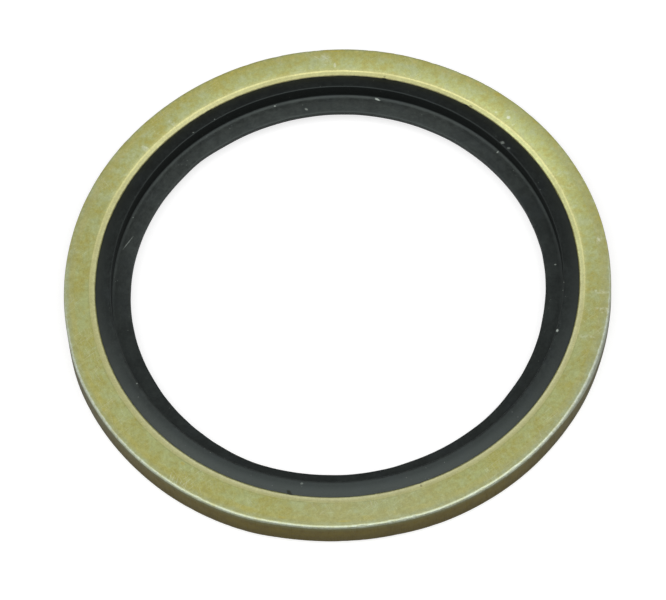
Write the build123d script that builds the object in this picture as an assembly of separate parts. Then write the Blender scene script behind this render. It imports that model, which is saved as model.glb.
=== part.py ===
"""Bonded sealing washer with a thin centring web, for an inch and a half parallel pipe thread.

A flat steel ring holds a rubber seal moulded and bonded into its bore. The seal is one moulding: a
sealing bead that stands proud of both faces of the steel, and a thin web at mid-thickness that reaches
inwards and centres the washer on the thread. Lengths are in millimetres. The axis of the bore is Z and
the origin is at the middle of the washer. Radii follow from the thread: the bead clears its crest, the
web reaches in from the bead, and the steel lies outside the bead.
"""
from build123d import *
import os

# Thread that passes through the washer
thread_diameter = 47.80
thread_clearance = 0.32

# Steel ring
steel_width = 3.35
steel_thickness = 3.38
rim_radius = 0.30
bevel_width = 0.65
bevel_depth = 0.18

# Sealing bead, the same above and below the steel
bead_width = 1.73
bead_height = 0.42
bead_crest_width = 0.30
bead_crest_chamfer = 0.12
bead_back_bulge = 0.06

# Centring web
web_reach = 1.92
web_thickness = 0.60
web_root_chamfer = 0.18
web_lip_chamfer = 0.08

# Radii and heights that follow
bead_wall = thread_diameter / 2 + thread_clearance
web_bore = bead_wall - web_reach
bond = bead_wall + bead_width
rim = bond + steel_width
face = steel_thickness / 2
crest = face + bead_height
web_top = web_thickness / 2


def corner(section, x, y):
    """The corner of a section that lies nearest to the given point."""
    return section.vertices().sort_by_distance((x, y))[0]


def revolved(upper_half):
    """Mirror the upper half of a section about the mid-plane and turn it once round the bore's axis."""
    section = upper_half + mirror(upper_half, about=Plane.XZ)
    return revolve(Plane.XZ * section, axis=Axis.Z, revolution_arc=360)


def steel_section():
    """Upper half of the steel ring's section, with its bevelled bore and rounded rim."""
    outline = Polyline(
        (bond, 0),
        (bond, face - bevel_depth),
        (bond + bevel_width, face),
        (rim, face),
        (rim, 0),
        close=True,
    )
    section = make_face(outline)
    return fillet(corner(section, rim, face), radius=rim_radius)


def seal_section():
    """Upper half of the seal's section: the bonded face, the bead's back, crest and wall, and the web."""
    back_foot = Vector(bond, face - bevel_depth)
    back_head = Vector(bead_wall + bead_crest_width, crest)
    rise = (back_head - back_foot).normalized()
    back_middle = (back_foot + back_head) * 0.5 + Vector(rise.Y, -rise.X) * bead_back_bulge
    inside = Polyline(
        back_head,
        (bead_wall, crest),
        (bead_wall, web_top),
        (web_bore, web_top),
        (web_bore, 0),
        (bond, 0),
    )
    back = ThreePointArc(back_foot, back_middle, back_head)
    section = make_face(Curve() + [Line((bond, 0), back_foot), back, inside])
    section = chamfer(corner(section, bead_wall, crest), length=bead_crest_chamfer)
    section = chamfer(corner(section, bead_wall, web_top), length=web_root_chamfer)
    return chamfer(corner(section, web_bore, web_top), length=web_lip_chamfer)


parts = {
    "metal_ring": revolved(steel_section()),
    "rubber_seal": revolved(seal_section()),
}

os.makedirs("parts", exist_ok=True)
for name, part in parts.items():
    export_step(part, f"parts/{name}.step")
    print(name, "volume", round(part.volume, 3), "size", part.bounding_box().size)
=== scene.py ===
"""Looks of a bonded sealing washer: a yellow passivated steel ring with a black rubber seal in its bore.

Lengths are in metres unless a name or comment says millimetres. Both pieces are surfaces of revolution
about Z: a closed outline of radius and height is carried once round, and small differences that depend
on the angle are added to it as whole arrays.
"""
import logging
import math
from dataclasses import dataclass, field
from enum import Enum

import bpy
import numpy as np
from mathutils import Matrix, Vector


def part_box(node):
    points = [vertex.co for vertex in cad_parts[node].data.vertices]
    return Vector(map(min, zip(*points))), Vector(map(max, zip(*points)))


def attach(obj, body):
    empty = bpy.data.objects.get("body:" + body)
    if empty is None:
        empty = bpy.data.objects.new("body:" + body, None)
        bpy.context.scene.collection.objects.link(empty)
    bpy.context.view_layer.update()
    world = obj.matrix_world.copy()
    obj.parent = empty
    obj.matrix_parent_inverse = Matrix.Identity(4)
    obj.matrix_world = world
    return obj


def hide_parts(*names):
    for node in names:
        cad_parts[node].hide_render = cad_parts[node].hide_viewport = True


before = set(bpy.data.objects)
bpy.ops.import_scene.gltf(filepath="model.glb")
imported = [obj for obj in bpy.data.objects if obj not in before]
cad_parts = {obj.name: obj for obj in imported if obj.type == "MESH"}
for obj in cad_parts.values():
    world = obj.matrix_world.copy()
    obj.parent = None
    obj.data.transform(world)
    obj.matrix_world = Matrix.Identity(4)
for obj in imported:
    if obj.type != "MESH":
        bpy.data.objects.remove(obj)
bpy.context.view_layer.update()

MM = 0.001
TAU = 2 * math.pi
# How far the line between rubber and steel lies inside the solids' own, as the photograph shows
BOND_SETBACK = 0.06 * MM
# Degrees over which a swelling of the rim comes and goes
SWELL_SOFT = 4.5
Colour = tuple[float, float, float]
log = logging.getLogger("washer")


def tone(red: float, green: float, blue: float) -> Colour:
    """Linear colour of a display colour whose channels run from 0 to 255.

    Args:
        red, green, blue: display values, 0 to 255.

    Returns:
        The same colour with each channel linear, 0 to 1.
    """
    def linear(value: float) -> float:
        """One channel by the display standard's curve."""
        share = value / 255
        return share / 12.92 if share <= 0.04045 else ((share + 0.055) / 1.055) ** 2.4

    return linear(red), linear(green), linear(blue)


class Link:
    """The output of a shader node. Arithmetic on it adds Math nodes."""

    def __init__(self, graph: "Graph", socket: bpy.types.NodeSocket) -> None:
        """Keep the graph that the socket belongs to."""
        self.graph = graph
        self.socket = socket

    def other(self, name: str) -> "Link":
        """Another output of the same node."""
        return Link(self.graph, self.socket.node.outputs[name])

    def _math(self, operation: str, left: "Value", right: "Value") -> "Link":
        """A Math node of two values."""
        return self.graph.node("ShaderNodeMath", {"operation": operation}, {0: left, 1: right})

    def __add__(self, value: "Value") -> "Link":
        """Sum."""
        return self._math("ADD", self, value)

    def __sub__(self, value: "Value") -> "Link":
        """Difference."""
        return self._math("SUBTRACT", self, value)

    def __rsub__(self, value: "Value") -> "Link":
        """Difference from a number."""
        return self._math("SUBTRACT", value, self)

    def __mul__(self, value: "Value") -> "Link":
        """Product."""
        return self._math("MULTIPLY", self, value)

    def __truediv__(self, value: "Value") -> "Link":
        """Quotient."""
        return self._math("DIVIDE", self, value)

    def __pow__(self, value: "Value") -> "Link":
        """Power."""
        return self._math("POWER", self, value)

    def __abs__(self) -> "Link":
        """Size without sign."""
        return self._math("ABSOLUTE", self, 0.0)

    __radd__ = __add__
    __rmul__ = __mul__


Value = Link | float


class Graph:
    """A node tree under construction."""

    def __init__(self, tree: bpy.types.NodeTree) -> None:
        """Empty the tree, so that it holds only what is added here."""
        self.tree = tree
        tree.nodes.clear()

    def node(
        self, kind: str, settings: dict | None = None, inputs: dict | None = None, output: int | str = 0,
    ) -> Link:
        """Add a node.

        Args:
            kind: the node's type.
            settings: attributes of the node, set first; stops gives a ramp's places and colours.
            inputs: values or links for its sockets, by name or number.
            output: the output to return, by name or number.

        Returns:
            A link to the chosen output, or to none where the node has no output.
        """
        made = self.tree.nodes.new(kind)
        for name, value in (settings or {}).items():
            if name == "stops":
                self._set_stops(made.color_ramp, value)
            else:
                setattr(made, name, value)
        for name, value in (inputs or {}).items():
            socket = made.inputs[name]
            if isinstance(value, Link):
                self.tree.links.new(value.socket, socket)
            elif isinstance(value, tuple) and len(value) == 3 and socket.type == "RGBA":
                socket.default_value = (*value, 1.0)
            else:
                socket.default_value = value
        return Link(self, made.outputs[output] if made.outputs else None)

    @staticmethod
    def _set_stops(ramp: bpy.types.ColorRamp, stops: list[tuple[float, float]]) -> None:
        """Give a ramp grey stops at the given places.

        Args:
            ramp: the ramp to fill.
            stops: place and grey level of each stop, 0 to 1.
        """
        while len(ramp.elements) < len(stops):
            ramp.elements.new(1.0)
        for element, (place, grey) in zip(ramp.elements, stops):
            element.position = place
            element.color = (grey, grey, grey, 1.0)

    def blend(self, under: Link | Colour, over: Link | Colour, share: Value) -> Link:
        """Mix two colours by a share from 0 to 1.

        Args:
            under, over: the colours at share 0 and at share 1.
            share: how much of the second.

        Returns:
            The mixed colour.
        """
        made = self.tree.nodes.new("ShaderNodeMix")
        made.data_type = "RGBA"
        for socket, value in ((made.inputs[0], share), (made.inputs[6], under), (made.inputs[7], over)):
            if isinstance(value, Link):
                self.tree.links.new(value.socket, socket)
            else:
                socket.default_value = (*value, 1.0) if isinstance(value, tuple) else value
        return Link(self, made.outputs[2])

    def rise(self, value: Link, low: float, high: float) -> Link:
        """A smooth step from 0 at low to 1 at high.

        Args:
            value: what is measured.
            low, high: where the step starts and ends.

        Returns:
            The share, 0 to 1.
        """
        return self.node(
            "ShaderNodeMapRange", {"interpolation_type": "SMOOTHSTEP"},
            {"Value": value, "From Min": low, "From Max": high, "To Min": 0.0, "To Max": 1.0},
        )

    def band(self, value: Link, start: float, end: float, soft: float) -> Link:
        """1 between start and end, falling to 0 over a soft edge on each side.

        Args:
            value: what is measured.
            start, end: the middles of the two edges.
            soft: half the width of each edge.

        Returns:
            The share, 0 to 1.
        """
        return self.rise(value, start - soft, start + soft) * (1 - self.rise(value, end - soft, end + soft))

    def vector(self, operation: str, left: Link | Colour, right: Link | Colour) -> Link:
        """A Vector Math node of two vectors."""
        return self.node("ShaderNodeVectorMath", {"operation": operation}, {0: left, 1: right})

    def noise(self, place: Link, scale: float, detail: float = 3.0, rough: float = 0.55) -> Link:
        """Smooth noise from about 0.3 to 0.7, with scale given in waves per metre."""
        return self.node(
            "ShaderNodeTexNoise", None,
            {"Vector": place, "Scale": scale, "Detail": detail, "Roughness": rough},
        )


@dataclass(frozen=True)
class Mark:
    """A small mark on the upper side: where it lies, how long and wide it is, and how it is turned."""

    angle: float
    radius: float
    length: float
    width: float
    turn: float = 0.0
    strength: float = 1.0


@dataclass
class RingPlaces:
    """Places on a ring about Z, read from the object's own coordinates and its outline attribute."""

    graph: Graph
    place: Link = field(init=False)
    radius: Link = field(init=False)
    height: Link = field(init=False)
    facing: Link = field(init=False)
    upper: Link = field(init=False)
    along: Link = field(init=False)
    distance: Link = field(init=False)

    def __post_init__(self) -> None:
        """Read the outline's own radius and height, the upward share of the surface's direction, and a vector
        whose noise is drawn out along the ring: direction from the axis shortened, radius at full size."""
        graph = self.graph
        self.place = graph.node("ShaderNodeTexCoord", output="Object")
        split = graph.node("ShaderNodeSeparateXYZ", None, {"Vector": self.place}, "X")
        across, deep = split, split.other("Y")
        distance = (across * across + deep * deep) ** 0.5
        self.distance = distance
        outline = graph.node("ShaderNodeAttribute", {"attribute_name": "outline"}, None, "Vector")
        nominal = graph.node("ShaderNodeSeparateXYZ", None, {"Vector": outline}, "X")
        self.radius, self.height = nominal, nominal.other("Y")
        self.facing = graph.node("ShaderNodeSeparateXYZ", None, {"Vector": self.place.other("Normal")}, "Z")
        self.upper = graph.rise(self.height, -0.01 * MM, 0.01 * MM)
        stretch = 0.004
        self.along = graph.node(
            "ShaderNodeCombineXYZ", None,
            {"X": across / distance * stretch, "Y": deep / distance * stretch, "Z": distance + self.height},
        )

    def spot(self, mark: Mark, ragged: Link) -> Link:
        """A mark's share at each place: 1 inside an ellipse, falling to 0 at its ragged edge.

        Args:
            mark: the mark, with angle and turn in degrees and lengths in millimetres.
            ragged: noise about 0.5 that roughens the edge.

        Returns:
            The share, from 0 to the mark's strength, on the upper side alone.
        """
        angle = math.radians(mark.angle)
        centre = (mark.radius * MM * math.cos(angle), mark.radius * MM * math.sin(angle), 0.0)
        size = (mark.length / 2 * MM, mark.width / 2 * MM, 1.0)
        local = self.graph.node(
            "ShaderNodeMapping", {"vector_type": "TEXTURE"},
            {
                "Vector": self.place, "Location": centre,
                "Rotation": (0.0, 0.0, math.radians(mark.turn)), "Scale": size,
            },
        )
        away = self.graph.node("ShaderNodeVectorMath", {"operation": "LENGTH"}, {0: local}, "Value")
        inside = 1 - self.graph.rise(away + (ragged - 0.5) * 1.4, 0.55, 1.15)
        return inside * self.upper * mark.strength

    def towards(self, bearing: float, low: float, high: float) -> Link:
        """A smooth share that is 1 on the side of the ring at a bearing in degrees and 0 opposite to it.

        Args:
            bearing: the bearing, in degrees from X towards Y.
            low, high: cosines of the angle away at which the share is 0 and 1.

        Returns:
            The share, 0 to 1.
        """
        angle = math.radians(bearing)
        facing = (math.cos(angle), math.sin(angle), 0.0)
        pair = {0: self.place, 1: facing}
        dot = self.graph.node("ShaderNodeVectorMath", {"operation": "DOT_PRODUCT"}, pair, "Value")
        return self.graph.rise(dot / self.distance, low, high)

    def spots(self, marks: tuple[Mark, ...], ragged: Link) -> Link:
        """The sum of several marks' shares."""
        total = self.spot(marks[0], ragged)
        for mark in marks[1:]:
            total = total + self.spot(mark, ragged)
        return total

    def hairs(self, turn: float, length: float, width: float, share: float) -> Link:
        """Fine straight scratches: noise drawn out along one direction, of which only the peaks are kept.

        Args:
            turn: their direction in degrees.
            length, width: their usual size in millimetres.
            share: the level that noise must pass, near 0.6 for many and 0.7 for few.

        Returns:
            The share at each place, 0 or up to 1.
        """
        scale = (1 / (length * MM), 1 / (width * MM), 1 / (length * MM))
        back = (0.0, 0.0, math.radians(-turn))
        turned = self.graph.node("ShaderNodeMapping", None, {"Vector": self.place, "Rotation": back})
        drawn = self.graph.vector("MULTIPLY", turned, scale)
        return self.graph.rise(self.graph.noise(drawn, 1.0, 1.0, 0.4), share, share + 0.06)


@dataclass(frozen=True)
class ZincPassivate:
    """Yellow passivated zinc: mottled olive and pale green, brownish on its wall, bright on its edges from wear
    and a painted glint, with painted highlights, sheen and shade that follow the side of the ring.
    """

    bond: float
    bevel: float
    rim: float
    face: float
    olive: Colour = tone(169, 165, 92)
    green: Colour = tone(170, 177, 119)
    gold: Colour = tone(184, 168, 66)
    silver: Colour = tone(178, 184, 150)
    # Painted highlight: the next two tones lighten the lit side of the face and of the bevel.
    highlight_pale: Colour = tone(222, 228, 160)
    lit_green: Colour = tone(172, 181, 118)
    # The bevel's pale tone; toe and shoulder are its lighter lit copy on the near side, painted light.
    pale: Colour = tone(200, 198, 144)
    toe: Colour = tone(216, 215, 168)
    shoulder: Colour = tone(185, 183, 128)
    # Painted shade in the witness groove.
    groove_shade: Colour = tone(146, 142, 90)
    # Painted highlight along the bevel's outer edge.
    line: Colour = tone(228, 225, 158)
    fringe: Colour = tone(84, 78, 36)
    wall: Colour = tone(101, 89, 20)
    wall_dark: Colour = tone(86, 74, 8)
    wall_grey: Colour = tone(106, 108, 70)
    wall_side: Colour = tone(86, 87, 52)
    # Painted shade towards the bottom of the wall.
    wall_low_shade: Colour = tone(74, 64, 8)
    # Painted sheen beside the rim's edge.
    rim_sheen: Colour = tone(158, 172, 150)
    # Painted shade on the bevel at a few bearings.
    heel: Colour = tone(178, 176, 120)
    # Pale worn plating of the rim's edge, carrying a painted glint; the next tone is the glint dimmed.
    worn_glint: Colour = tone(198, 206, 190)
    dim_glint: Colour = tone(171, 179, 160)
    chalk: Colour = tone(220, 224, 202)
    marks: tuple[Mark, ...] = (
        Mark(42.7, 27.36, 0.52, 0.44, 30, 0.85), Mark(45.8, 27.00, 0.36, 0.28, 0, 0.36),
        Mark(40.6, 27.05, 0.40, 0.24, 20, 0.28), Mark(43.9, 27.95, 0.60, 0.20, 0, 0.24),
        Mark(86.0, 27.14, 0.70, 0.30, 86, 0.45), Mark(88.2, 28.20, 1.10, 0.18, 140, 0.26),
        Mark(89.8, 28.15, 1.00, 0.16, 138, 0.22), Mark(227.9, 28.70, 0.90, 0.10, 250, 0.30),
        Mark(228.7, 28.80, 0.80, 0.09, 246, 0.34), Mark(229.6, 28.65, 1.00, 0.10, 252, 0.30),
        Mark(230.6, 28.75, 0.70, 0.09, 244, 0.28), Mark(231.8, 28.65, 0.90, 0.10, 250, 0.24),
    )
    smudges: tuple[Mark, ...] = (
        Mark(5.0, 28.50, 1.30, 0.60, 66, 0.55), Mark(340.4, 27.60, 1.80, 0.80, 340, 0.42),
        Mark(347.7, 28.45, 1.60, 0.80, 348, 0.55), Mark(352.1, 28.20, 2.20, 0.60, 352, 0.42),
        Mark(126.9, 27.10, 1.80, 0.50, 127, 0.36), Mark(135.9, 26.90, 1.80, 0.70, 136, 0.52),
        Mark(20.0, 27.80, 1.60, 0.90, 40, 0.16), Mark(88.0, 27.90, 1.80, 1.30, 120, 0.32),
    )
    stains: tuple[Mark, ...] = (
        Mark(74.1, 26.14, 0.30, 0.20, 0, 0.6),
        Mark(51.7, 26.10, 0.50, 0.24, 140, 0.8), Mark(285.4, 25.98, 0.24, 0.40, 15, 1.0),
    )
    gold_marks: tuple[Mark, ...] = (
        Mark(48.4, 28.85, 1.00, 0.40, -40, 0.9), Mark(37.6, 28.95, 0.80, 0.36, -52, 0.8),
        Mark(30.4, 28.80, 1.00, 0.44, -60, 0.6), Mark(53.2, 28.80, 0.90, 0.40, -37, 0.7),
        Mark(86.3, 28.95, 2.40, 0.34, 176, 0.8), Mark(267.0, 28.50, 1.60, 0.30, 177, 0.6),
        Mark(228.1, 26.80, 0.70, 0.40, 138, 0.6), Mark(206.2, 28.85, 0.80, 0.40, 116, 0.5),
        Mark(254.0, 28.50, 1.00, 0.34, 164, 0.5),
    )

    def material(self) -> bpy.types.Material:
        """Build the plated finish.

        Returns:
            The material, whose patterns follow the object's own coordinates and outline.
        """
        material = bpy.data.materials.new("yellow_passivated_zinc")
        material.use_nodes = True
        graph = Graph(material.node_tree)
        at = RingPlaces(graph)
        up = graph.rise(abs(at.facing), 0.80, 0.97)
        # Painted light: lit brightens the face towards bearings 60, 38 and 130 and dims it towards 84, where
        # the lamps fall.
        lit = at.towards(60.0, 0.30, 1.0) * 0.9 + at.towards(38.0, 0.93, 1.0) * 0.17
        lit = lit + at.towards(130.0, 0.90, 1.0) * 0.25 - at.towards(84.0, 0.90, 1.0) * 0.25
        far = at.towards(75.0, -0.30, 0.50)

        patches = graph.noise(at.place, 420.0, 3.0, 0.60)
        fine = graph.noise(at.place, 2800.0, 3.0, 0.6)
        grain = graph.noise(at.place, 7500.0, 2.0, 0.6)
        inner = 1 - graph.rise(at.radius, self.bevel - 0.2 * MM, self.rim - 0.2 * MM)
        cells = graph.noise(at.place, 1300.0, 3.0, 0.65)
        mottle = patches * 0.5 + cells * 0.35 + fine * 0.15
        colour = graph.blend(self.olive, self.green, graph.rise(mottle + (inner - 0.5) * 0.06, 0.38, 0.62))
        colour = graph.blend(colour, self.silver, graph.rise(cells, 0.52, 0.76) * 0.22)
        colour = graph.blend(colour, self.silver, at.towards(273.0, 0.92, 1.0) * at.upper * 0.26)
        by_rim = graph.band(at.radius, self.rim - 1.15 * MM, self.rim - 0.42 * MM, 0.12 * MM)
        golden = graph.rise(patches + (cells - 0.5) * 0.4, 0.42, 0.62)
        colour = graph.blend(colour, self.gold, by_rim * golden * 0.38)
        hairs = at.hairs(35, 2.4, 0.07, 0.63) + at.hairs(-62, 1.8, 0.07, 0.64) + at.hairs(98, 2.0, 0.07, 0.65)
        rubbed = graph.rise(graph.noise(at.place, 160.0, 2.0, 0.5), 0.46, 0.60)
        colour = graph.blend(colour, self.chalk, hairs * (rubbed * 0.17 + 0.07))
        # Painted highlight: the lit side of the face is blended towards a lighter green and a pale highlight
        # tone.
        colour = graph.blend(colour, self.lit_green, lit * at.upper * 0.30)
        fall = 1 - graph.rise(at.radius, self.bevel - 0.6 * MM, self.rim - 0.1 * MM)
        colour = graph.blend(colour, self.highlight_pale, lit * at.upper * (0.05 + fall * 0.32))
        colour = graph.blend(colour, self.gold, at.spots(self.gold_marks, fine) * 0.75)
        tarnish = patches * 0.45 + cells * 0.40 + fine * 0.15
        colour = graph.blend(colour, self.silver, graph.rise(tarnish, 0.50, 0.58) * far * at.upper * 0.32)
        colour = graph.blend(colour, self.gold, (1 - graph.rise(tarnish, 0.41, 0.49)) * far * at.upper * 0.24)
        outermost = graph.band(at.radius, self.rim - 0.85 * MM, self.rim - 0.30 * MM, 0.10 * MM)
        flecks = graph.rise(fine * 0.4 + cells * 0.6, 0.47, 0.60)
        colour = graph.blend(colour, self.gold, outermost * flecks * far * 0.42)
        # Painted sheen: a pale greenish band inside the rim towards bearings 345 and 165, and on the near side
        # beside the glint.
        rim_belt = graph.band(at.radius, self.rim - 1.10 * MM, self.rim - 0.30 * MM, 0.12 * MM)
        rim_sheen_share = rim_belt * (at.towards(345.0, 0.10, 0.90) * 0.20 + at.towards(165.0, 0.85, 1.0) * 0.14)
        rim_sheen_share = rim_sheen_share + graph.rise(at.radius, self.rim - 0.85 * MM, self.rim - 0.35 * MM) * (1 - far) * 0.28
        colour = graph.blend(colour, self.rim_sheen, rim_sheen_share * at.upper * (1 + (cells - 0.5) * 1.6))
        torn = graph.rise(fine * 0.6 + cells * 0.4, 0.36, 0.66)
        colour = graph.blend(colour, self.chalk, at.spots(self.smudges, cells) * torn)
        colour = graph.blend(colour, self.chalk, at.spots(self.marks, fine))
        bevel = graph.band(at.radius, self.bond - 0.3 * MM, self.bevel + 0.02 * MM, 0.03 * MM)
        # The bevel is paler than the face. By side it also carries painted light: a painted highlight towards
        # bearing 25, painted shade in the heel tone towards 80, 15, 157 and 184, and a lighter lit copy on the
        # near side.
        tint = graph.blend(self.pale, self.highlight_pale, at.towards(25.0, 0.75, 1.0) * 0.6 + (fine - 0.5) * 0.6)
        tint = graph.blend(tint, self.heel, at.towards(80.0, 0.74, 0.97) * 0.9)
        bevel_shade_sides = at.towards(15.0, 0.975, 1.0) * 0.45 + at.towards(157.0, 0.93, 1.0) * 0.5
        tint = graph.blend(tint, self.heel, bevel_shade_sides)
        slope = graph.rise(at.radius, self.bond + 0.05 * MM, self.bevel)
        near_lit_bevel = graph.blend(self.toe, self.shoulder, slope)
        near_lit_bevel = graph.blend(near_lit_bevel, self.heel, at.towards(184.0, 0.70, 1.0) * 0.55)
        tint = graph.blend(near_lit_bevel, tint, far)
        colour = graph.blend(colour, tint, bevel * up * 0.9)
        # Painted highlight: a bright line along the bevel's outer edge and a glow just outside it, on the far
        # side.
        outer_highlight = graph.band(at.radius, self.bevel - 0.17 * MM, self.bevel - 0.01 * MM, 0.04 * MM)
        highlight_share = 0.35 + lit * 0.5 + (patches - 0.5) * 1.2
        colour = graph.blend(colour, self.line, outer_highlight * up * far * highlight_share)
        highlight_halo = graph.rise(at.radius, self.bevel - 0.10 * MM, self.bevel)
        highlight_halo = highlight_halo * (1 - graph.rise(at.radius, self.bevel, self.bevel + 0.42 * MM))
        colour = graph.blend(colour, self.line, highlight_halo * up * far * 0.40)
        # Painted shade: the witness groove is darkened on the near side only.
        groove = graph.band(at.radius, self.bevel + 0.07 * MM, self.bevel + 0.14 * MM, 0.05 * MM)
        groove_shade_share = 0.36 + (cells - 0.5) * 1.2 + (patches - 0.5) * 1.4
        colour = graph.blend(colour, self.groove_shade, groove * up * (1 - far) * groove_shade_share)
        ragged = at.radius + (fine - 0.5) * 0.10 * MM
        stain = 1 - graph.rise(ragged, self.bond + 0.08 * MM, self.bond + 0.17 * MM)
        blots = at.spots(self.stains, fine)
        stain = graph.node("ShaderNodeMath", {"operation": "MAXIMUM"}, {0: stain, 1: blots})
        colour = graph.blend(colour, self.fringe, stain * (0.58 + far * 0.30))

        side = 1 - graph.rise(abs(at.facing) - (1 - at.upper) * 0.3, 0.20, 0.55)
        brown = graph.blend(self.wall, self.wall_dark, graph.rise(cells * 0.6 + patches * 0.4, 0.35, 0.65))
        ragged = abs(at.height) + (fine - 0.5) * 0.5 * MM
        under_edge = graph.rise(ragged, self.face - 1.0 * MM, self.face - 0.35 * MM)
        brown = graph.blend(self.wall_side, brown, at.towards(268.0, 0.25, 0.85) * 0.7 + 0.3)
        brown = graph.blend(brown, self.wall_grey, under_edge * (at.upper * 0.7))
        # Painted shade: the wall darkens towards its bottom.
        low = 1 - graph.rise(at.height + (cells - 0.5) * 0.8 * MM, -1.5 * MM, 0.2 * MM)
        brown = graph.blend(brown, self.wall_low_shade, low * 0.75)
        colour = graph.blend(colour, brown, side)
        # The rim's rounded corner is pale worn plating with a painted glint, kept to the near side and dimmed
        # towards bearing 258.
        corner = graph.rise(at.radius, self.rim - 0.32 * MM, self.rim - 0.23 * MM)
        corner = corner * at.towards(268.0, -0.20, 0.30)
        edge = graph.band(abs(at.facing), 0.26, 0.97, 0.10) * corner * (at.upper * 0.8 + 0.2)
        # Painted glint: the glint band is carried down the upper wall towards bearings 332 and 352.
        wall_glint = self.face - 0.38 * MM - at.towards(352.0, 0.82, 1.0) * 1.4 * MM
        wall_glint = graph.rise((at.height - wall_glint) / MM + (fine - 0.5) * 0.6, -0.12, 0.20)
        wall_glint = wall_glint * at.towards(332.0, 0.62, 0.90)
        colour = graph.blend(colour, self.dim_glint, wall_glint * side * (0.72 + (cells - 0.5) * 0.8))
        worn_glint = graph.blend(self.worn_glint, self.dim_glint, at.towards(258.0, 0.45, 0.95))
        colour = graph.blend(colour, worn_glint, edge * (0.82 + (cells - 0.5) * 1.3 + (fine - 0.5) * 1.0))
        # Painted highlight: gain brightens the lit side of the face; the rest of shade is random grain and
        # mottle.
        gain = lit * at.upper * (0.04 + fall * 0.24) * (1 - bevel * 0.85) * (1 - highlight_halo)
        shade = 1 + gain + (grain - 0.5) * 0.50 + (fine - 0.5) * 0.30 + (cells - 0.5) * 0.18
        shaded = graph.node("ShaderNodeVectorMath", {"operation": "SCALE"}, {0: colour, "Scale": shade})

        streaks = graph.noise(at.along, 16000.0, 3.0, 0.6)
        rough = 0.45 + (fine - 0.5) * 0.25 + (streaks - 0.5) * 0.14 - edge * 0.08 + hairs * 0.08
        metal = 0.42 + edge * 0.5 - bevel * 0.12 - stain * 0.3
        height = grain * 0.35 + fine * 0.8 + streaks * 0.3 - hairs * 0.5
        bump = graph.node("ShaderNodeBump", None, {"Strength": 0.22, "Distance": 0.02 * MM, "Height": height})
        shader = graph.node(
            "ShaderNodeBsdfPrincipled", None,
            {"Base Color": shaded, "Metallic": metal, "Roughness": rough, "Normal": bump},
        )
        graph.node("ShaderNodeOutputMaterial", None, {"Surface": shader})
        return material


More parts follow.
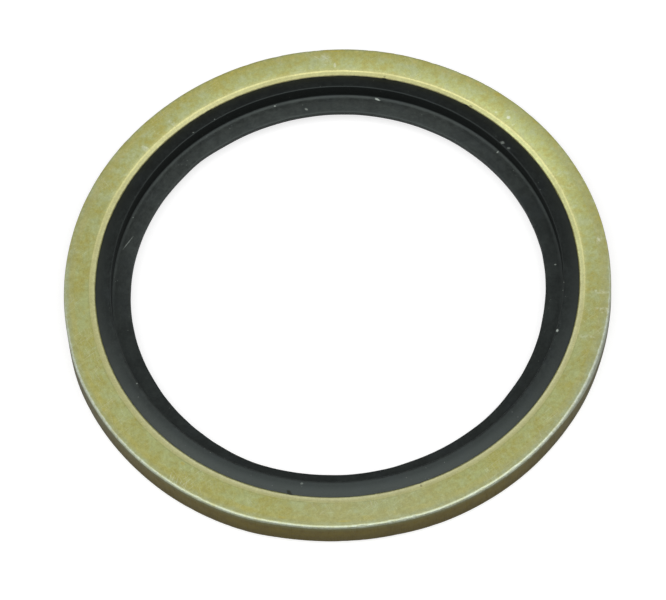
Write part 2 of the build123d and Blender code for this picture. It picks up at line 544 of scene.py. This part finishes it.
@dataclass(frozen=True)
class MouldedRubber:
    """Black nitrile rubber: a satin moulded skin, fine grain, drawn marks along the ring and a little dust,
    with painted shade on the bead's far side and painted sheen on its near back.
    """

    bead_wall: float
    bond: float
    black: Colour = tone(5, 6, 5)
    grey: Colour = tone(33, 37, 35)
    slate: Colour = tone(22, 26, 34)
    # Black, also used for painted shade on the bead's inner wall and far side.
    deep: Colour = tone(5, 6, 5)
    smear: Colour = tone(30, 27, 12)
    # Dust; also the tone of painted sheen and painted light on the bead and web.
    dust_and_sheen: Colour = tone(128, 134, 128)
    lint: Colour = tone(176, 184, 176)
    sheen: Colour = (0.86, 1.0, 0.97)
    marks: tuple[Mark, ...] = (
        Mark(75.0, 23.92, 0.60, 0.20, 150, 1.0), Mark(94.1, 22.82, 0.36, 0.26, 150, 0.45),
        Mark(102.0, 23.95, 0.26, 0.18, 0, 0.70), Mark(118.5, 24.34, 0.16, 0.12, 0, 0.60),
        Mark(125.1, 24.40, 0.22, 0.16, 0, 0.40), Mark(152.4, 24.00, 0.18, 0.16, 0, 0.40),
        Mark(160.0, 23.46, 2.00, 0.12, 51.8, 0.34), Mark(1.7, 23.50, 0.24, 0.16, 0, 0.60),
        Mark(353.9, 24.20, 0.22, 0.20, 0, 0.50), Mark(38.5, 24.51, 0.48, 0.42, 0, 0.46),
        Mark(36.2, 24.52, 0.40, 0.32, 0, 0.32), Mark(39.2, 23.98, 0.30, 0.18, 40, 0.60),
        Mark(340.0, 24.32, 0.44, 0.30, 70, 0.85), Mark(256.8, 24.42, 0.30, 0.24, 0, 0.26),
        Mark(204.7, 24.30, 0.24, 0.20, 0, 0.40),
    )
    smears: tuple[Mark, ...] = (
        Mark(254.2, 25.46, 0.74, 0.34, 134, 0.75), Mark(224.8, 23.84, 0.30, 0.20, 0, 0.5),
    )

    def material(self) -> bpy.types.Material:
        """Build the rubber finish.

        Returns:
            The material, whose patterns follow the object's own coordinates.
        """
        material = bpy.data.materials.new("black_nitrile_rubber")
        material.use_nodes = True
        graph = Graph(material.node_tree)
        at = RingPlaces(graph)
        clouds = graph.rise(graph.noise(at.place, 500.0, 4.0, 0.6), 0.38, 0.66)
        grain = graph.noise(at.place, 5600.0, 3.0, 0.65)
        fine = graph.noise(at.place, 2600.0, 2.0, 0.6)
        along = graph.noise(at.along, 14000.0, 3.0, 0.55)
        greyness = clouds * 0.30 + 0.06 + (grain - 0.5) * 1.7 + (fine - 0.5) * 0.8
        colour = graph.blend(self.black, self.grey, greyness)
        bluish = graph.rise(graph.noise(at.place, 320.0, 3.0, 0.6), 0.48, 0.66)
        colour = graph.blend(colour, self.slate, bluish * 0.2)
        on_web = at.upper * (1 - graph.rise(at.radius, self.bead_wall - 0.20 * MM, self.bead_wall - 0.05 * MM))
        streaks = 1 + (along - 0.5) * 1.6 + (fine - 0.5) * 1.2 + (clouds - 0.5) * 0.3
        # Dust on the web, with more of it on the far side as painted light.
        web_dust_and_light = on_web * (0.012 + at.towards(105.0, -0.1, 0.8) * 0.052)
        colour = graph.blend(colour, self.dust_and_sheen, web_dust_and_light * streaks)
        # Dust at the root of the bead, mostly on the far side, where it is a painted highlight along the root's
        # round.
        root = graph.band(at.radius, self.bead_wall - 0.30 * MM, self.bead_wall - 0.08 * MM, 0.06 * MM)
        root = root * at.upper
        colour = graph.blend(colour, self.dust_and_sheen, root * at.towards(92.0, -0.1, 0.5) * (0.01 + clouds * 0.03))
        # Painted shade: the bead's steep inner wall is darkened towards black.
        shaded_flank = graph.band(at.radius, self.bead_wall - 0.04 * MM, self.bead_wall + 0.05 * MM, 0.03 * MM)
        shaded_flank = shaded_flank * (1 - graph.rise(abs(at.facing), 0.25, 0.6))
        colour = graph.blend(colour, self.deep, shaded_flank * 0.85)
        spread = {"Vector": at.place, "Scale": 1700.0}
        cells = graph.node("ShaderNodeTexVoronoi", {"feature": "F1"}, spread, "Distance")
        specks = 1 - graph.rise(cells, 0.06, 0.13)
        thin = graph.rise(graph.noise(at.place, 1300.0, 2.0, 0.5), 0.52, 0.60)
        colour = graph.blend(colour, self.dust_and_sheen, specks * thin * 0.28)
        # Painted sheen: the bead's back and crest are lightened on the near side.
        back = graph.rise(at.radius, self.bead_wall + 0.5 * MM, self.bond - 0.2 * MM) * at.upper
        near_sheen = back * (at.towards(262.0, 0.05, 0.9) * 0.052 + at.towards(216.0, 0.86, 1.0) * 0.014)
        crown_sheen = graph.rise(at.radius, self.bead_wall - 0.05 * MM, self.bead_wall + 0.12 * MM) * at.upper
        near_sheen = near_sheen + crown_sheen * at.towards(212.0, 0.86, 1.0) * 0.03
        colour = graph.blend(colour, self.dust_and_sheen, near_sheen * (1 + (fine - 0.5) * 0.8))
        lint = at.spots(self.marks, fine) * graph.rise(abs(at.facing), 0.35, 0.60)
        smears = at.spots(self.smears, fine)
        colour = graph.blend(colour, self.lint, lint * 0.8)
        colour = graph.blend(colour, self.smear, smears)
        rough = 0.47 + (grain - 0.5) * 0.45 + (fine - 0.5) * 0.25 + clouds * 0.05
        rough = rough + lint * 0.3 + shaded_flank * 0.25 + smears * 0.5
        height = grain * 0.8 + along * 0.35 + lint * 0.8
        bump = graph.node("ShaderNodeBump", None, {"Strength": 0.38, "Distance": 0.02 * MM, "Height": height})
        shader = graph.node(
            "ShaderNodeBsdfPrincipled", None,
            {
                "Base Color": colour, "Roughness": rough, "Specular IOR Level": 0.5,
                "Specular Tint": (*self.sheen, 1.0), "Normal": bump,
            },
        )
        # Painted shade: a dark matt shader is mixed over the bead's inner wall, crest and back on the far side.
        shade_matt = graph.node("ShaderNodeBsdfDiffuse", None, {"Color": self.deep, "Roughness": 0.3})
        away = at.towards(80.0, -0.35, 0.45)
        inside = graph.rise(at.radius, self.bead_wall - 0.02 * MM, self.bead_wall + 0.10 * MM)
        share = away * (shaded_flank * 0.45 + inside * 0.22)
        both = graph.node("ShaderNodeMixShader", None, {0: share, 1: shader, 2: shade_matt})
        graph.node("ShaderNodeOutputMaterial", None, {"Surface": both})
        return material


def straight(start: tuple[float, float], end: tuple[float, float], count: int) -> np.ndarray:
    """Points on a straight run of an outline, evenly spaced, without its last point.

    Args:
        start, end: radius and height at the two ends.
        count: how many steps the run has.

    Returns:
        An array of count rows of radius and height.
    """
    share = np.linspace(0, 1, count, endpoint=False)[:, None]
    return np.asarray(start) * (1 - share) + np.asarray(end) * share


def bend(centre: tuple[float, float], radius: float, start: float, end: float, count: int) -> np.ndarray:
    """Points on a round corner of an outline: centre plus radius times cosine and sine of the angle.

    Args:
        centre: radius and height of the corner's centre.
        radius: the corner's own radius.
        start, end: angles in degrees from outwards, turning upwards.
        count: how many points the corner has, both ends included.

    Returns:
        An array of count rows of radius and height.
    """
    angle = np.radians(np.linspace(start, end, count))
    return np.stack([centre[0] + radius * np.cos(angle), centre[1] + radius * np.sin(angle)], 1)


def ripple(angle: np.ndarray, lowest: int, highest: int, seed: int) -> np.ndarray:
    """Smooth noise round a circle: cosines of whole waves with random sizes and phases, of unit spread.

    Args:
        angle: angles in radians.
        lowest, highest: fewest and most waves per turn.
        seed: start of the random draw.

    Returns:
        One value for each angle.
    """
    draw = np.random.default_rng(seed)
    waves = np.arange(lowest, highest + 1)
    phase = draw.uniform(0, TAU, waves.size)
    size = draw.normal(0, 1, waves.size) / np.sqrt(waves)
    total = (size * np.cos(np.outer(angle, waves) + phase)).sum(1)
    return total / total.std()


def ring_mesh(name: str, outline: np.ndarray, radius: np.ndarray, height: np.ndarray) -> bpy.types.Object:
    """Close a grid of outlines round Z into a mesh: point j of outline i lies at angle i of a full turn.

    Args:
        name: name of the piece.
        outline: the undisturbed radius and height of each point, kept as the attribute that materials read.
        radius, height: arrays of outlines by points, each outline closed and turning upwards on the outside.

    Returns:
        The new object, linked to the scene, smooth shaded, with its faces outwards.
    """
    turns, points = radius.shape
    angle = np.linspace(0, TAU, turns, endpoint=False)[:, None]
    places = np.stack([radius * np.cos(angle), radius * np.sin(angle), height], -1).reshape(-1, 3)
    turn, point = np.meshgrid(np.arange(turns), np.arange(points), indexing="ij")
    after, above = (turn + 1) % turns, (point + 1) % points
    corners = [turn * points + point, after * points + point, after * points + above, turn * points + above]
    faces = np.stack([corner.ravel() for corner in corners], 1).astype(np.int32)
    mesh = bpy.data.meshes.new(name)
    mesh.vertices.add(len(places))
    mesh.vertices.foreach_set("co", places.astype(np.float32).ravel())
    mesh.loops.add(faces.size)
    mesh.loops.foreach_set("vertex_index", faces.ravel())
    mesh.polygons.add(len(faces))
    mesh.polygons.foreach_set("loop_start", np.arange(0, faces.size, 4, dtype=np.int32))
    mesh.polygons.foreach_set("use_smooth", np.ones(len(faces), bool))
    plain = np.zeros((turns, points, 3), np.float32)
    plain[..., :2] = outline
    mesh.attributes.new("outline", "FLOAT_VECTOR", "POINT").data.foreach_set("vector", plain.ravel())
    mesh.update(calc_edges=True)
    mesh.validate()
    piece = bpy.data.objects.new(name, mesh)
    bpy.context.scene.collection.objects.link(piece)
    return piece


@dataclass(frozen=True)
class Drift:
    """How far the bore's centre lies from the rim's, and how much narrower it is along Y than along X."""

    across: float = 0.01 * MM
    deep: float = 0.16 * MM
    oval: float = 0.19 * MM

    def reach(self, angle: np.ndarray) -> np.ndarray:
        """The outward shift at each angle: the share of the drift along it."""
        return self.across * np.cos(angle) + self.deep * np.sin(angle)

    def squeeze(self, angle: np.ndarray) -> np.ndarray:
        """The inward shift at each angle: the oval by the sine squared."""
        return -self.oval * np.sin(angle) ** 2


@dataclass
class SteelRing:
    """The flat steel ring, with its rounded rim, rolled edge, bevelled bore and a few nicks."""

    node: str = "metal_ring"
    turns: int = 1080
    rim_round: float = 0.34 * MM
    roll_width: float = 0.80 * MM
    roll_drop: float = 0.015 * MM
    dish_width: float = 1.20 * MM
    dish_drop: float = 0.020 * MM
    bevel_width: float = 0.65 * MM
    bevel_depth: float = 0.18 * MM
    nicks: int = 60
    witness_depth: float = 0.009 * MM
    witness_width: float = 0.09 * MM
    swellings: tuple[tuple[float, float, float], ...] = (
        (191.0, 251.0, 0.21), (136.0, 160.0, 0.05), (282.0, 312.0, 0.13), (312.0, 333.0, 0.08),
        (56.0, 70.0, -0.07),
    )
    leans: tuple[tuple[float, float, float], ...] = (
        (224.0, 256.0, -0.05), (312.0, 333.0, 0.03), (333.0, 351.0, 0.06),
    )
    drift: Drift = Drift()
    bond: float = field(init=False)
    rim: float = field(init=False)
    face: float = field(init=False)

    def __post_init__(self) -> None:
        """Read the ring's radii and half thickness from the frame."""
        self.rim = -float(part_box(self.node)[0][0]) - 0.002 * MM
        self.face = float(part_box(self.node)[1][2])
        self.bond = float(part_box("rubber_seal")[1][0]) - BOND_SETBACK

    def upper_outline(self) -> np.ndarray:
        """Upper half of the outline from the middle of the rim to the middle of the bore: the wall, a quarter
        round at the rim, the face, a small round into the bevel, the bevel and the bore."""
        turn = math.degrees(math.atan2(self.bevel_depth, self.bevel_width))
        heel = self.bond + self.bevel_width
        blend = 0.05 * MM
        corner = (self.rim - self.rim_round, self.face - self.rim_round)
        soft = 0.25 * MM
        reach = soft * math.tan(math.radians(turn / 2))
        toe = (self.bond, self.face - self.bevel_depth)
        return np.concatenate([
            straight((self.rim, 0), (self.rim, corner[1]), 3),
            bend(corner, self.rim_round, 0, 90, 11),
            straight((corner[0] - blend, self.face), (heel + reach + blend, self.face), 15),
            bend((heel + reach, self.face - soft), soft, 90, 90 + turn, 4),
            straight((heel - 2 * reach, self.face - 2 * reach * math.tan(math.radians(turn))), toe, 4),
            straight(toe, (self.bond, 0), 2),
        ])

    def outline(self) -> np.ndarray:
        """The whole closed outline: the upper half, and the same turned over below it."""
        upper = self.upper_outline()
        lower = upper[1:][::-1] * (1, -1)
        middle = np.array([[self.bond, 0.0]])
        return np.concatenate([upper, middle, lower])

    def build(self) -> bpy.types.Object:
        """Carry the outline round Z, with its rolled edge, dished face, witness line, slow waves and nicks.

        Returns:
            The piece that stands for the ring.
        """
        outline = self.outline()
        angle = np.linspace(0, TAU, self.turns, endpoint=False)
        radius = np.repeat(outline[None, :, 0], self.turns, 0)
        height = np.repeat(outline[None, :, 1], self.turns, 0)
        side = np.sign(outline[:, 1])
        flat = (np.abs(outline[:, 1]) > self.face / 2).astype(float)
        heel = self.bond + self.bevel_width
        roll = np.clip((outline[:, 0] - (self.rim - self.roll_width)) / self.roll_width, 0, 1) ** 2
        dish = np.clip((heel + self.dish_width - outline[:, 0]) / self.dish_width, 0, 1) ** 2
        height -= side * flat * (roll * self.roll_drop + dish * self.dish_drop)
        witness = np.exp(-((outline[:, 0] - heel - 1.6 * self.witness_width) / self.witness_width) ** 2)
        depth = self.witness_depth * np.clip(1 + 0.5 * ripple(angle, 2, 40, 11), 0, None)
        height -= side * flat * witness * depth[:, None]
        waves = 0.004 * MM * ripple(angle, 2, 9, 5)
        height += side * flat * (waves[:, None] - waves.max())
        at_heel = np.exp(-((outline[:, 0] - heel) / (0.12 * MM)) ** 2) * flat
        radius += at_heel * (0.012 * MM * ripple(angle, 5, 150, 8))[:, None]
        inward = np.clip((self.rim - outline[:, 0]) / (self.rim - self.bond), 0, 1)
        radius += inward * (self.drift.reach(angle) + self.drift.squeeze(angle))[:, None]
        radius += (1 - inward) * self.plateaus(self.swellings, angle)[:, None]
        radius += (1 - inward) * self.plateaus(self.leans, angle)[:, None] * height / self.face
        self.nick(radius, height, outline, angle)
        return ring_mesh("plated_steel_ring", outline, radius, height)

    @staticmethod
    def plateaus(spans: tuple[tuple[float, float, float], ...], angle: np.ndarray) -> np.ndarray:
        """How far the rim stands out at each angle: a soft plateau between each pair of angles in degrees.

        Args:
            spans: start and end in degrees and reach in millimetres of each plateau.
            angle: angles in radians.

        Returns:
            One reach for each angle, in metres.
        """
        total = np.zeros_like(angle)
        for start, end, reach in spans:
            turned = np.degrees(angle)
            rise = np.tanh((turned - start) / SWELL_SOFT) - np.tanh((turned - end) / SWELL_SOFT)
            total += reach * MM * rise / 2
        return total

    def nick(self, radius: np.ndarray, height: np.ndarray, outline: np.ndarray, angle: np.ndarray) -> None:
        """Press small dents into the rim's edges: each is a bell in angle and in distance from the edge.

        Args:
            radius, height: grids to change in place.
            outline: the outline that the grids repeat.
            angle: the angle of each row of the grids.
        """
        draw = np.random.default_rng(23)
        edge = self.rim - 0.3 * self.rim_round
        for side in (1, -1):
            for _ in range(self.nicks):
                centre = draw.uniform(0, TAU)
                width = draw.uniform(0.10, 0.45) * MM
                depth = draw.uniform(0.01, 0.05) * MM
                away = (angle - centre + math.pi) % TAU - math.pi
                bell = np.exp(-((away * self.rim) / width) ** 2)
                level = side * (self.face - 0.3 * self.rim_round)
                reach = np.hypot(outline[:, 0] - edge, outline[:, 1] - level)
                push = np.outer(bell, np.exp(-(reach / (0.16 * MM)) ** 2)) * depth
                radius -= push * 0.7
                height -= push * 0.7 * side

    def dress(self, piece: bpy.types.Object) -> None:
        """Give the piece its finish and its body, and hide the node that it stands for."""
        finish = ZincPassivate(self.bond, self.bond + self.bevel_width, self.rim, self.face)
        piece.data.materials.append(finish.material())
        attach(piece, "root")
        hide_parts(self.node)


@dataclass
class RubberSeal:
    """The one-piece rubber moulding: bead above and below, thin flash on the steel's bevel, and the web."""

    node: str = "rubber_seal"
    turns: int = 1000
    bead_wall: float = 24.22 * MM
    web_bore: float = 22.26 * MM
    web_sag: float = 0.26 * MM
    web_half: float = 0.30 * MM
    crest_width: float = 0.30 * MM
    crest_round: float = 0.12 * MM
    crest_lean: float = 11.0
    shoulder_round: float = 0.10 * MM
    back_bulge: float = 0.08 * MM
    root_round: float = 0.22 * MM
    lip_round: float = 0.14 * MM
    groove_depth: float = 0.015 * MM
    groove_width: float = 0.14 * MM
    bevel_slope: float = 0.18 / 0.65
    flash_reach: float = 0.014 * MM
    flash_tongues: tuple[tuple[float, float, float], ...] = (
        (254.4, 0.10, 0.30), (74.0, 0.12, 0.22), (52.7, 0.10, 0.30), (285.4, 0.10, 0.20), (118.0, 0.06, 0.30),
    )
    lip_waves: tuple[tuple[float, float, float], ...] = (
        (10.0, 0.08, 12.0), (127.8, 0.12, 4.5), (200.0, -0.10, 22.0), (243.0, 0.12, 10.0),
        (286.0, -0.08, 9.0), (311.0, 0.06, 7.0), (346.0, -0.05, 9.0),
    )
    drift: Drift = Drift()
    bond: float = field(init=False)
    crest: float = field(init=False)
    foot: float = field(init=False)

    def __post_init__(self) -> None:
        """Read the bond's radius and the crest's height from the frame, and the foot from the steel's bevel."""
        self.bond = float(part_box(self.node)[1][0]) - BOND_SETBACK
        self.crest = float(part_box(self.node)[1][2])
        self.foot = float(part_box("metal_ring")[1][2]) - 0.20 * MM

    def crest_drop(self) -> float:
        """How far the crest falls from its inner round to its outer end, by its lean in degrees."""
        return (self.crest_width - self.crest_round) * math.tan(math.radians(self.crest_lean))

    def back(self, count: int) -> np.ndarray:
        """The bead's back from its foot to its crest: the straight run pushed out by a parabola's height.

        Args:
            count: how many points it has.

        Returns:
            An array of count rows of radius and height.
        """
        foot = np.array([self.bond, self.foot])
        head = np.array([self.bead_wall + self.crest_width, self.crest - self.crest_drop()])
        share = np.linspace(0.02, 1, count)[:, None]
        rise = (head - foot) / np.linalg.norm(head - foot)
        outward = np.array([rise[1], -rise[0]])
        return foot + (head - foot) * share + outward * (4 * share * (1 - share) * self.back_bulge)

    def upper_outline(self) -> np.ndarray:
        """Upper half of the outline, from the middle of the bond to the middle of the lip."""
        corner = (self.bead_wall + self.crest_round, self.crest - self.crest_round)
        shoulder_height = self.crest - self.crest_drop() - self.shoulder_round
        shoulder = (self.bead_wall + self.crest_width, shoulder_height)
        root = (self.bead_wall - self.root_round, self.web_half + self.root_round)
        lip = (self.web_bore + self.lip_round, self.web_half - self.lip_round)
        return np.concatenate([
            np.array([[self.bond, 0], [self.bond, self.foot - 0.03 * MM], [self.bond, self.foot + 0.004 * MM]]),
            self.back(11)[:-1],
            bend(shoulder, self.shoulder_round, 66, 90 - self.crest_lean, 3),
            bend(corner, self.crest_round, 90 - self.crest_lean, 180, 8),
            straight((self.bead_wall, corner[1] - 0.02 * MM), (self.bead_wall, root[1] + 0.01 * MM), 4),
            bend(root, self.root_round, 0, -90, 6),
            straight((root[0] - 0.01 * MM, self.web_half), (lip[0] + 0.01 * MM, self.web_half), 10),
            bend(lip, self.lip_round, 90, 180, 6),
        ])

    def outline(self) -> np.ndarray:
        """The whole closed outline: the upper half, and the same turned over below it."""
        upper = self.upper_outline()
        lower = upper[1:][::-1] * (1, -1)
        return np.concatenate([upper, lower])

    def flash(self, angle: np.ndarray) -> np.ndarray:
        """How far the rubber creeps over the bevel at each angle: a thin ragged film and a few wider tongues.

        Args:
            angle: angles in radians.

        Returns:
            One reach for each angle, in metres.
        """
        film = self.flash_reach * np.clip(0.8 + ripple(angle, 6, 240, 3), 0, 3.0)
        for centre, reach, width in self.flash_tongues:
            away = (angle - math.radians(centre) + math.pi) % TAU - math.pi
            film += reach * MM * np.exp(-((away * self.bond) / (width * MM)) ** 2)
        return film

    def lip(self, angle: np.ndarray) -> np.ndarray:
        """How far the lip wanders outwards at each angle: a sum of bells, each at its own angle and width.

        Args:
            angle: angles in radians.

        Returns:
            One reach for each angle, in metres.
        """
        total = np.zeros_like(angle)
        for centre, reach, width in self.lip_waves:
            away = (np.degrees(angle) - centre + 180) % 360 - 180
            total += reach * MM * np.exp(-(away / width) ** 2)
        return total

    def build(self) -> bpy.types.Object:
        """Carry the outline round Z, with flash at the bond, a groove at the root and a gently waving web.

        Returns:
            The piece that stands for the seal.
        """
        outline = self.outline()
        angle = np.linspace(0, TAU, self.turns, endpoint=False)
        radius = np.repeat(outline[None, :, 0], self.turns, 0)
        height = np.repeat(outline[None, :, 1], self.turns, 0)
        side = np.sign(outline[:, 1])
        level = np.abs(outline[:, 1])
        at_foot = np.exp(-((outline[:, 0] - self.bond) / (0.02 * MM)) ** 2) * (level > self.foot)
        flash = self.flash(angle)[:, None]
        radius += at_foot * flash
        height += side * at_foot * flash * self.bevel_slope
        on_web = (level < self.web_half + 0.01 * MM) & (outline[:, 0] < self.bead_wall - self.root_round)
        trough = self.bead_wall - self.root_round - 1.2 * self.groove_width
        groove = np.exp(-((outline[:, 0] - trough) / self.groove_width) ** 2)
        height -= side * groove * on_web * self.groove_depth
        free = np.clip((self.bead_wall - outline[:, 0]) / (self.bead_wall - self.web_bore), 0, 1)
        height += free ** 2 * (0.03 * MM * ripple(angle, 2, 7, 31))[:, None] - free ** 1.3 * self.web_sag
        radius += free ** 3 * (0.008 * MM * ripple(angle, 4, 60, 32))[:, None]
        radius += free * self.lip(angle)[:, None]
        near_crest = np.exp(-((level - self.crest) / (0.10 * MM)) ** 2)
        height -= side * near_crest * (0.005 * MM * np.abs(ripple(angle, 3, 90, 33)))[:, None]
        outward = np.clip((outline[:, 0] - self.bead_wall) / (self.bond - self.bead_wall), 0, 1)
        inward = np.clip((outline[:, 0] - self.web_bore) / (self.bead_wall - self.web_bore), 0, 1)
        radius += (0.5 * inward + 0.5 * outward) * self.drift.reach(angle)[:, None]
        radius += (0.7 + 0.3 * outward) * self.drift.squeeze(angle)[:, None]
        return ring_mesh("moulded_rubber_seal", outline, radius, height)

    def dress(self, piece: bpy.types.Object) -> None:
        """Give the piece its finish and its body, and hide the node that it stands for."""
        piece.data.materials.append(MouldedRubber(self.bead_wall, self.bond).material())
        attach(piece, "root")
        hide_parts(self.node)


class Daylight(Enum):
    """Strengths of what surrounds the washer, where 1 shows as white."""

    SEEN = 1.0
    ABOVE = 0.30
    SIDES = 0.75
    BELOW = 0.12


@dataclass(frozen=True)
class Softbox:
    """A soft lamp that faces the washer: name, width, height, elevation, bearing and radiance."""

    name: str
    width: float
    height: float
    elevation: float
    bearing: float
    radiance: float
    distance: float = 0.60

    def place(self) -> bpy.types.Object:
        """Add the lamp. Its power is its radiance times its area times pi."""
        data = bpy.data.lights.new(self.name, "AREA")
        data.shape = "RECTANGLE"
        data.size = self.width
        data.size_y = self.height
        data.energy = self.radiance * self.width * self.height * math.pi
        up, bearing = math.radians(self.elevation), math.radians(self.bearing)
        towards = Vector((math.cos(up) * math.cos(bearing), math.cos(up) * math.sin(bearing), math.sin(up)))
        lamp = bpy.data.objects.new(self.name, data)
        turn = towards.to_track_quat("Z", "Y").to_matrix().to_4x4()
        lamp.matrix_world = Matrix.Translation(towards * self.distance) @ turn
        bpy.context.scene.collection.objects.link(lamp)
        return lamp


@dataclass
class Studio:
    """Pale floor, a wide soft lamp above, a lower one in front, and a plain sky brighter at the sides."""

    floor_reach: float = 6.0
    floor_colour: Colour = (0.50, 0.50, 0.50)
    floor_lift: float = 0.62
    lamps: tuple[Softbox, ...] = (
        Softbox("overhead_softbox", 1.20, 0.62, 66.0, -93.0, 1.85),
        Softbox("front_softbox", 1.00, 0.24, 30.0, -90.0, 0.5),
    )

    def floor(self) -> bpy.types.Object:
        """A flat floor that the lower bead rests on, lifted to white where the camera sees it unshaded."""
        level = float(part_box("rubber_seal")[0][2])
        reach = self.floor_reach
        mesh = bpy.data.meshes.new("floor")
        near = [(-reach, -reach, level), (reach, -reach, level)]
        behind = [(reach, reach, level), (-reach, reach, level)]
        mesh.from_pydata(near + behind, [], [(0, 1, 2, 3)])
        floor = bpy.data.objects.new("floor", mesh)
        bpy.context.scene.collection.objects.link(floor)
        material = bpy.data.materials.new("floor_paper")
        material.use_nodes = True
        graph = Graph(material.node_tree)
        seen = graph.node("ShaderNodeLightPath", output="Is Camera Ray")
        shader = graph.node(
            "ShaderNodeBsdfPrincipled", None,
            {"Base Color": self.floor_colour, "Roughness": 0.9, "Specular IOR Level": 0.1},
        )
        lift = {"Color": (1.0, 1.0, 1.0), "Strength": seen * self.floor_lift}
        glow = graph.node("ShaderNodeEmission", None, lift)
        both = graph.node("ShaderNodeAddShader", None, {0: shader, 1: glow})
        graph.node("ShaderNodeOutputMaterial", None, {"Surface": both})
        mesh.materials.append(material)
        return floor

    def sky(self) -> None:
        """A plain sky, brighter above than at the sides, and white where the camera sees it."""
        world = bpy.data.worlds.new("studio")
        world.use_nodes = True
        bpy.context.scene.world = world
        graph = Graph(world.node_tree)
        ray = graph.node("ShaderNodeTexCoord", output="Generated")
        up = graph.node("ShaderNodeSeparateXYZ", None, {"Vector": ray}, "Z")
        seen = graph.node("ShaderNodeLightPath", output="Is Camera Ray")
        across = abs(up.other("X"))
        more = Daylight.ABOVE.value - Daylight.BELOW.value
        level = Daylight.BELOW.value + graph.rise(up, 0.12, 0.55) * more
        level = level + graph.rise(across, 0.45, 0.85) * graph.rise(up, -0.05, 0.10) * Daylight.SIDES.value
        strength = level * (1 - seen) + seen * Daylight.SEEN.value
        shader = graph.node("ShaderNodeBackground", None, {"Color": (1.0, 1.0, 1.0), "Strength": strength})
        graph.node("ShaderNodeOutputWorld", None, {"Surface": shader})


@dataclass(frozen=True)
class PhotoCamera:
    """A camera that sees the washer as the photograph does, over an image of 666 by 600 pixels."""

    image_width: float = 666.0
    image_height: float = 600.0
    focal_pixels: float = 6578.7
    distance: float = 24.0 * 29.3 * MM
    elevation: float = 61.00
    roll: float = -5.13
    centre_across: float = 336.9
    centre_down: float = 283.3

    def place(self) -> bpy.types.Object:
        """Set the camera on the middle of the steel's upper face, turned by the roll, and shift the frame."""
        up, turn = math.radians(self.elevation), math.radians(self.roll)
        back = Vector((0, -math.cos(up), math.sin(up)))
        right = Vector((1, 0, 0))
        above = back.cross(right)
        across = right * math.cos(turn) + above * math.sin(turn)
        down = above * math.cos(turn) - right * math.sin(turn)
        target = Vector((0, 0, float(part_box("metal_ring")[1][2])))
        data = bpy.data.cameras.new("camera")
        data.lens = self.focal_pixels * data.sensor_width / self.image_width
        data.shift_x = -(self.centre_across - self.image_width / 2) / self.image_width
        data.shift_y = (self.centre_down - self.image_height / 2) / self.image_width
        data.clip_start = 0.01
        data.clip_end = 50.0
        camera = bpy.data.objects.new("camera", data)
        turned = Matrix((across, down, back)).transposed().to_4x4()
        camera.matrix_world = Matrix.Translation(target + back * self.distance) @ turned
        bpy.context.scene.collection.objects.link(camera)
        bpy.context.scene.camera = camera
        return camera


def main() -> None:
    """Build the washer and its studio."""
    logging.basicConfig(level=logging.INFO, format="%(message)s")
    bpy.context.scene.view_settings.view_transform = "Standard"
    for part in (SteelRing(), RubberSeal()):
        piece = part.build()
        part.dress(piece)
        log.info("%s: %d faces", piece.name, len(piece.data.polygons))
    studio = Studio()
    studio.floor()
    studio.sky()
    for softbox in studio.lamps:
        softbox.place()
    PhotoCamera().place()


if __name__ == "__main__":
    main()
